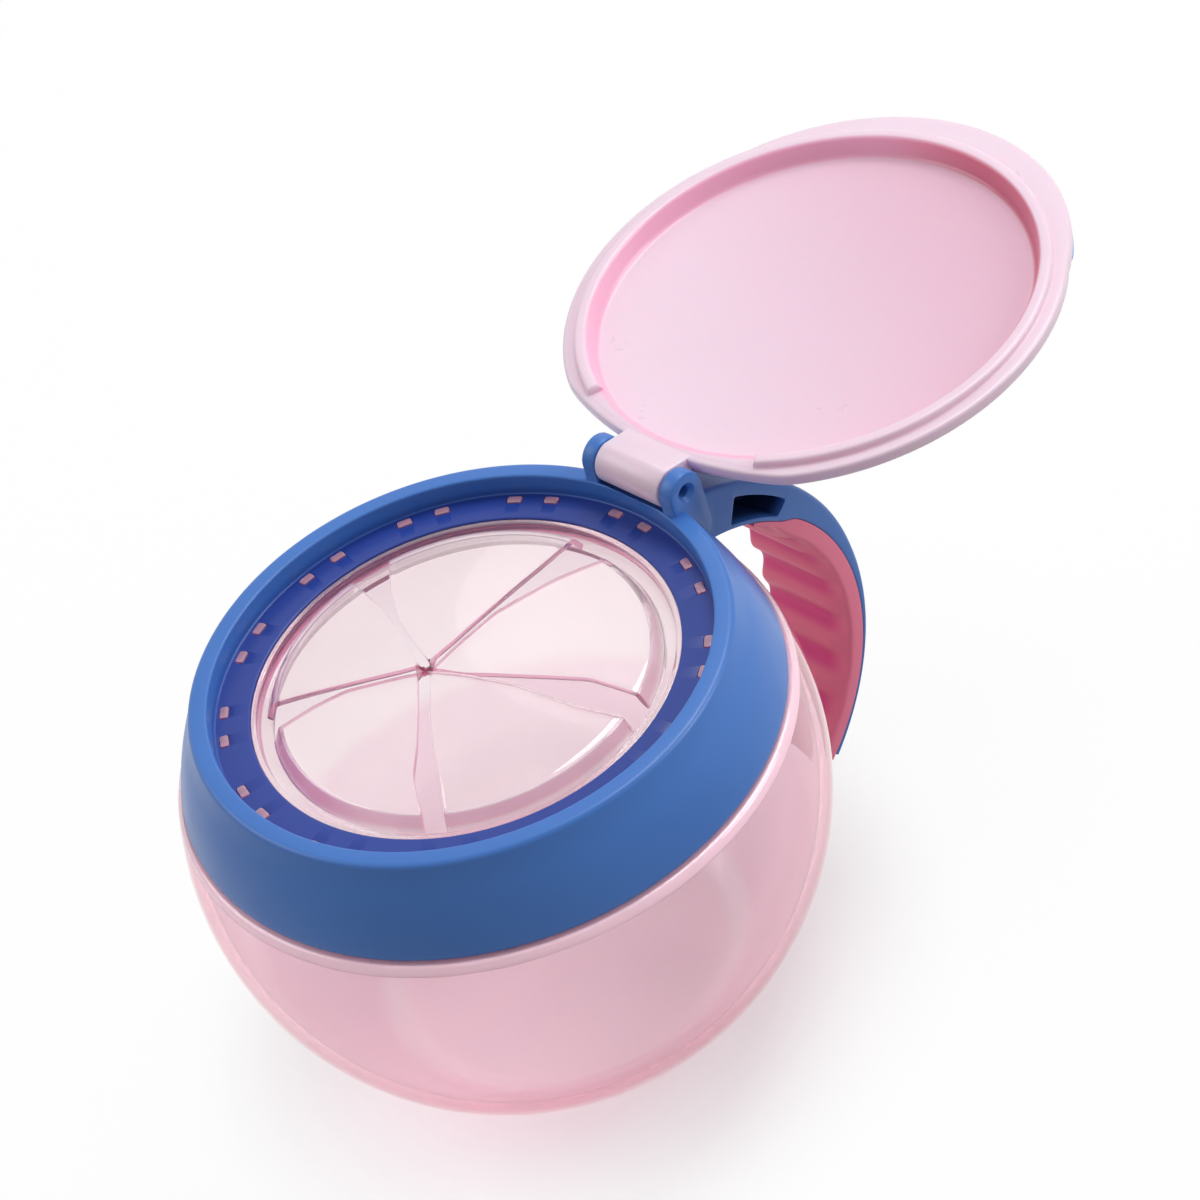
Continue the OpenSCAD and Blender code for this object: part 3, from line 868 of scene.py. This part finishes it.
rows = []
for k in range(grip_steps + 1):
    angle = grip_top + (grip_low - grip_top) * k / grip_steps
    end = min(1.0, (1 + k) / 5, (1 + grip_steps - k) / 5)
    thick = tongue_t + (grip_t - tongue_t) * eased(angle, tongue_high, tongue_low)
    thick *= math.sqrt(max(0.05, 1 - (1 - end) ** 2))
    face, back = inner_r - thick, seat_reach(angle) - 0.04
    ease = min(grip_edge, 0.8 * thick)
    far_face = face - ridge_height(angle, -arm_w / 2 + 0.4) * end
    loop = [(-arm_w / 2, back, 0.1), (-arm_w / 2, far_face, 0.5 * ease)]
    for i in range(1, 16):
        x = -arm_w / 2 + 1.5 + (arm_w - 3.0) * (i - 1) / 14
        loop.append((x, face - ridge_height(angle, x) * end, 0))
    loop += [(arm_w / 2, face, ease), (arm_w / 2, back, 0.1)]
    rows.append([(x, *(inner + r * toward(angle))) for x, r in rounded(loop, 4, True)])
grip = lofted("finger_grip", rows, magenta, 60)
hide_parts("handle_grip")
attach(grip, "collar")


# ---- Valve.
# One clear soft moulding with a faint pink tint. Plugs lock it through the collar's slots;
# inside the flange it steps down to a ledge, then rises to a low dome cut into five flaps.
soft_t = 0.9
seat_r, wall_in_r, ledge_z, side_r = 40.68, 32.18, 65.0, 30.18
crown_r, crown_z, crown_rise, fold_in = 28.38, 67.7, 1.5, 2.0
plug_up, peg_round, flap_edge = 0.2, 0.4, 0.16
star = np.array((-3.4, -3.6))

soft_clear = clear_finish(
    "soft_clear_pink",
    skin=(0.925, 0.885, 0.89),
    edge=(0.80, 0.34, 0.50),
    shade=(0.85, 0.81, 0.82),
    depth_colour=(0.95, 0.3, 0.42),
    depth=18.0,
    rough=0.05,
    bend=1.15,
    clear=0.86,
    mottle=90.0,
    ripple=0.09,
    # The leaning faces towards one side get painted shade with a painted reflection of the blue
    # collar.
    reflection_and_shade=((0.68, 0.42, 0.62), (-0.83, -0.56, 0.0), 6.0, 24.0),
)

wall_out_r = flange_r - 0.04
flange_low = flange_z - flange_t
ring = spun(
    "valve_ledge",
    rounded(
        [
            (seat_r, flange_low, 0.2),
            (wall_out_r, flange_low, 0.15),
            (wall_out_r, flange_z - 0.3, 0.2),
            (wall_in_r, flange_z - 0.3, 0.3),
            (wall_in_r, ledge_z, 0.6),
            (side_r, ledge_z, 0),
            (side_r, ledge_z - soft_t, 0),
            (flange_r + 0.3, ledge_z - soft_t, 0.6),
            (flange_r + 0.5, flange_low - soft_t, 0.4),
            (seat_r, flange_low - soft_t, 0.2),
        ],
        closed=True,
    ),
    soft_clear,
)
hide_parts("valve_ring")
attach(ring, "collar")

plug_levels = (
    (flange_low - 0.3, 0.06),
    (flange_z + plug_up - 0.25, 0.06),
    (flange_z + plug_up - 0.05, 0.16),
    (flange_z + plug_up, 0.36),
)
plug_pink = clear_finish(
    "plug_pink",
    skin=(0.86, 0.50, 0.64),
    edge=(0.60, 0.20, 0.38),
    shade=(0.9, 0.8, 0.85),
    depth_colour=(0.9, 0.4, 0.6),
    depth=20.0,
    rough=0.08,
    bend=1.1,
    clear=0.5,
    mottle=400.0,
    ripple=0.2,
)
plugs = put("valve_plugs", *slot_pegs(plug_levels, peg_round), plug_pink)
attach(plugs, "collar")

# Each slit: its direction, then at shares of its length how far it opens to either side.
slits = (
    (16.0, ((0, 0.4, 0.3), (0.2, 0.3, 0.0), (0.45, 1.6, 0.35), (0.75, 3.3, 2.3), (1, 2.3, 2.6))),
    (97.5, ((0, 0.4, 0.3), (0.2, 0.1, 0.1), (0.45, 0.1, 0.3), (0.75, 0.1, 2.9), (1, 0.4, 6.2))),
    (164.0, ((0, 1.0, 0.7), (0.2, 1.1, 0.1), (0.45, 1.7, -0.4), (0.75, 2.7, 0.6), (1, 4.2, 2.5))),
    (226.5, ((0, 0.3, 0.5), (0.2, 0.1, 0.2), (0.55, 0.1, 0.3), (0.75, 1.5, 0.4), (1, 4.0, 0.4))),
    (305.0, ((0, 0.2, 1.7), (0.3, 0.2, 1.6), (0.55, 0.7, 1.8), (0.75, 1.6, 2.4), (1, 2.2, 1.3))),
)


def crown(r):
    """Height of the dome's top at that distance from the axis."""
    return crown_z + crown_rise * (1 - (r / crown_r) ** 2)


def slit_edge(k, share, hand):
    """A point on one edge of slit k: hand is 1 for its left edge, seen from the middle."""
    angle, widths = slits[k % 5]
    root = toward(angle) * crown_r
    way = root - star
    way = way / np.linalg.norm(way)
    left = np.array((-way[1], way[0]))
    column = 1 if hand > 0 else 2
    open_by = np.interp(share, [w[0] for w in widths], [w[column] for w in widths])
    smooth = 0.15 * eased(share, 0, 1) + 0.85 * share
    return star + (root - star) * smooth + left * hand * open_by


# Outside its crown a flap bends down to the ledge, through these radii and heights.
flap_side = (
    (crown_r + 0.35, crown_z - 0.16),
    (crown_r + 0.6, crown_z - 0.5),
    (side_r - 0.45, ledge_z + 0.75),
    (side_r - 0.2, ledge_z + 0.3),
    (side_r + 0.05, ledge_z + 0.05),
)
across_n, along_n = 28, 26
wide = across_n + 1
for k in range(5):
    first_edge = [slit_edge(k, t / along_n, 1) for t in range(along_n + 1)]
    last_edge = [slit_edge(k + 1, t / along_n, -1) for t in range(along_n + 1)]
    begin = math.atan2(first_edge[-1][1], first_edge[-1][0])
    end = math.atan2(last_edge[-1][1], last_edge[-1][0])
    while end < begin:
        end += 2 * math.pi
    turns = [math.degrees(begin + (end - begin) * s / across_n) for s in range(wide)]
    points = []
    for t in range(along_n + 1):
        for s, turn in enumerate(turns):
            f = s / across_n
            spot = first_edge[t] * (1 - f) + last_edge[t] * f
            chord = first_edge[-1] * (1 - f) + last_edge[-1] * f
            spot = spot + t / along_n * (toward(turn) * crown_r - chord)
            points.append((*spot, crown(np.linalg.norm(spot))))
    for r, z in flap_side:
        points += [(*(toward(turn) * r), z) for turn in turns]
    faces = []
    for row in range(0, len(points) - wide, wide):
        for a in range(row, row + across_n):
            faces.append((a, a + 1, a + wide + 1, a + wide))
    flap = put("flap_skin_%d" % (k + 1), points, faces, soft_clear)
    if flap.data.polygons[0].normal.z < 0:
        flap.data.flip_normals()
    thick = flap.modifiers.new("thick", "SOLIDIFY")
    thick.thickness, thick.offset, thick.use_even_offset = soft_t * mm, -1.0, False
    softened(flap, flap_edge, 50)
    finished(flap, soft_clear, 50)
    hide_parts("flap_%d" % (k + 1))
    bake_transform(flap)


# ---- Hinge pin.
# A cut length of drawn steel wire, pressed into both ears just below their faces.
pin_r, pin_recess = 1.0, 1.2
pin_half = ear_out - pin_recess - 1.0

# The steel is given a dark colour, painted shade of the hole in the ear it sits back in; its drawn
# lines are the wire's own.
steel = Finish(bpy.data.materials.new("drawn_steel"))
place = steel.add("TexCoord")["Object"]
stretched = steel.add("Mapping", values={"Vector": place, "Scale": (40.0, 4000.0, 4000.0)})
lines = noise(steel, stretched, 1.0, 4.0)
wire_skin = steel.add(
    "BsdfPrincipled",
    values={
        "Base Color": steel.mixed(lines, (0.16, 0.165, 0.175), (0.24, 0.245, 0.255)),
        "Metallic": 1.0,
        "Roughness": lines * 0.2 + 0.22,
    },
)
steel.add("OutputMaterial", values={"Surface": wire_skin})

rows = []
for x, shy in ((-pin_half, 0.3), (-pin_half + 0.25, 0.0), (pin_half - 0.25, 0.0), (pin_half, 0.3)):
    rows.append([(x, y, z) for y, z in circle(pin_at, pin_r - shy, 32)])
pin = lofted("hinge_wire", rows, steel)
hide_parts("hinge_pin")
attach(pin, "collar")


# ---- Lid.
# A pink moulding, shown laid back over the arm: a flange with a thumb lip, a C-shaped plug
# wall that fits the collar's mouth, a dished floor and a rolled knuckle between the ears.
open_angle = 176.8
lid_z, lid_t, lid_r, lid_round = 71.3, 2.2, 40.48, 0.6
plug_r, plug_w, plug_h, plug_open, plug_round = 38.28, 2.1, 1.2, 54.0, 0.8
dish_lean, dish_edge, dish_mid, dish_low, dome_t, dome_round = 0.8, 2.2, 3.3, 3.9, 1.9, 1.2
back_y, back_r = pin_y - ear_r - 0.3, 60.0
lip_out, lip_shift = 2.9, 6.0
knuckle_r, knuckle_w, knuckle_bore_r = 3.5, 13.3, 1.06

lid_top = lid_z + lid_t
pan_r = plug_r - plug_w
dish_r = pan_r - dish_lean
dome_r = dish_r + dome_t
laid_back = (
    Matrix.Translation((0, pin_y * mm, pin_z * mm))
    @ Matrix.Rotation(math.radians(-open_angle), 4, "X")
    @ Matrix.Translation((0, -pin_y * mm, -pin_z * mm))
)


def hollow_finish(name, colour, floor_shade, recess_shade, shaded, rough, hub, way, low, high):
    """A milky satin plastic with painted shade: deeper in one ring-shaped wall and darker along a
    way there, and on its floor darker along a way.
    """
    finish = Finish(bpy.data.materials.new(name))
    place = finish.add("TexCoord")["Object"]
    flat = finish.vector("MULTIPLY", finish.vector("SUBTRACT", place, hub), (1.0, 1.0, 0.0))
    out = finish.vector("LENGTH", flat)
    along = finish.vector("DOT_PRODUCT", flat, way)
    cloud = noise(finish, place, cloud_scale, 3.0)
    paint = clouded(finish, cloud.step(0.3, 0.75), colour)
    # Painted shade: the floor grows darker along the way.
    floor_shade_mask = along.step(-34 * mm, 36 * mm) * (1.0 - out.step((low - 1.0) * mm, low * mm))
    paint = finish.mixed(floor_shade_mask, paint, floor_shade)
    beyond = out.step((high - 0.1) * mm, (high + 0.5) * mm)
    # Painted shade in the plug wall: deeper pink, darker still along the way.
    in_wall = out.step((low - 0.7) * mm, low * mm) * (1.0 - beyond)
    wall_shade = finish.mixed(along.step(16 * mm, 34 * mm), recess_shade, shaded)
    values = {
        "Base Color": finish.mixed(in_wall, paint, wall_shade),
        "Subsurface Weight": 0.4,
        "Subsurface Radius": (1.0, 0.45, 0.55),
        "Subsurface Scale": 4.0 * mm,
        "Coat Weight": 0.2,
        "Coat Roughness": 0.12,
    }
    grain = grained(finish, place, rough, swing=0.12, depth=0.06)
    body = finish.add("BsdfPrincipled", values=values | grain)
    finish.add("OutputMaterial", values={"Surface": body})
    return finish


lid_hub = laid_back @ Vector((0, 0, lid_z * mm))
# The floor and the plug wall carry painted shade.
pink = hollow_finish(
    "satin_pink",
    colour=(0.885, 0.67, 0.785),
    floor_shade=(0.81, 0.495, 0.63),
    recess_shade=(1.0, 0.50, 0.68),
    shaded=(0.68, 0.15, 0.25),
    rough=0.3,
    hub=tuple(lid_hub),
    way=(0.62, 0.78, 0.0),
    low=dish_r - 0.1,
    high=pan_r,
)


def off_centre(turn, radius, centre_y):
    """How far a circle lies from the lid's middle at that turn, its own centre moved in y."""
    across = centre_y * math.sin(turn)
    return -centre_y * math.cos(turn) + math.sqrt(radius**2 - across**2)


def larger(first, second, sharp):
    """About the larger of two reaches, or the smaller where sharp is negative."""
    near = 40.0
    both = math.exp(sharp * (first - near)) + math.exp(sharp * (second - near))
    return math.log(both) / sharp + near


def edge_reach(turn):
    """How far the lid reaches at that turn from its front: the lip, the edge, the back."""
    lip = off_centre(turn, lid_r + lip_out - lip_shift, -lip_shift)
    out = larger(lid_r, lip, 6.0)
    if math.cos(turn) < 0:
        back = off_centre(turn, back_r, back_y - back_r)
        out = min(larger(out, back, -6.0), back)
    return min(out, max(lid_r, lip))


def dish(low, edge, steps):
    """Corners of a shallow bowl's curve, from the lid's middle out to the dish's edge."""
    shares = [i / steps for i in range(steps)]
    return [(dish_r * t, lid_z + low + (edge - low) * t**2, 0) for t in shares]


# More rings stand close together where the plug wall ends, on both sides of the hinge.
wall_ends = {
    180 + hand * (plug_open / 2 - 0.3 + 0.15 * i) for hand in (-1, 1) for i in range(12)
}
points = []
for degrees in sorted(set(range(360)) | wall_ends):
    turn = math.radians(degrees)
    edge = edge_reach(turn)
    stand = min(1.0, max(0.0, (abs(degrees - 180) - plug_open / 2) / 0.9))
    stand = math.sqrt(1 - (1 - stand) ** 2)
    top = lid_z - 0.02 - (plug_h - 0.07) * stand
    wall_r = min(plug_r, edge - 1.3)
    under = dish(dish_low, dish_edge, 8)
    rim = [
        (dish_r, lid_z + dish_edge, 1.0),
        (dish_r + (pan_r - dish_r) * stand, top, plug_round),
        (wall_r, top, plug_round if stand > 0.9 else 0.3),
        (wall_r, lid_z, 0.35),
        (edge, lid_z + 0.04 * max(0.0, edge - lid_r), lid_round),
        (edge, lid_top, lid_round),
        (dome_r, lid_top, 0.5),
        (dome_r, lid_z + dish_edge + dome_t, dome_round),
    ]
    over = dish(dish_mid + dome_t, dish_edge + dome_t, 7)
    outline = rounded(under + rim + over[::-1], 4)
    points += [(r * math.sin(turn), -r * math.cos(turn), z) for r, z in outline]
count = len(outline)
faces = []
for a in range(0, len(points), count):
    b = (a + count) % len(points)
    faces += [(a + i, b + i, b + i + 1, a + i + 1) for i in range(count - 1)]
lid = put("lid_disc", points, faces, pink, 50)

knuckle_outline = ring_points(pin_at, knuckle_r, 90, -90, 24)
knuckle_outline += [(back_y - 1.2, lid_z), (back_y - 1.2, lid_top)]
knuckle = bar("knuckle", knuckle_outline, -knuckle_w / 2, knuckle_w / 2, pink, 0.3)
joined(lid, knuckle, "UNION")
bore = bar("bore", circle(pin_at, knuckle_bore_r), -knuckle_w, knuckle_w, pink)
joined(lid, bore, "DIFFERENCE")
lid.data.transform(laid_back)
finished(lid, pink, 50)
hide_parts("lid")
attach(lid, "lid")


# ---- Thumb pad.
# A soft blue crescent bonded to the outside of the lid's lip, where a thumb pushes it open.
pad_t, pad_half, pad_edge, pad_steps = 1.2, 50.0, 0.1, 72
pad_in, pad_low = dome_r + lid_round, lid_top + 0.02

light_blue = satin_finish(
    "soft_light_blue", colour=(0.11, 0.36, 0.80), shade=(0.10, 0.33, 0.76), rough=0.5
)

rows = []
for k in range(pad_steps + 1):
    turn = math.radians(-pad_half + 2 * pad_half * k / pad_steps)
    out = off_centre(turn, lid_r + lip_out - pad_edge - lip_shift, -lip_shift)
    end = min(1.0, k / 3, (pad_steps - k) / 3)
    high = pad_low + (lid_top + pad_t - pad_low) * math.sqrt(max(0.1, 1 - (1 - end) ** 2))
    corners = [(pad_in, pad_low, 0.05), (out, pad_low, 0.15), (out, high, 0.7), (pad_in, high, 0.5)]
    outline = rounded(corners, 4, True)
    rows.append([(r * math.sin(turn), -r * math.cos(turn), z) for r, z in outline])
pad = lofted("thumb_pad_skin", rows, light_blue, 50)
pad.data.transform(laid_back)
finished(pad, light_blue, 50)
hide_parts("thumb_pad")
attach(pad, "lid")
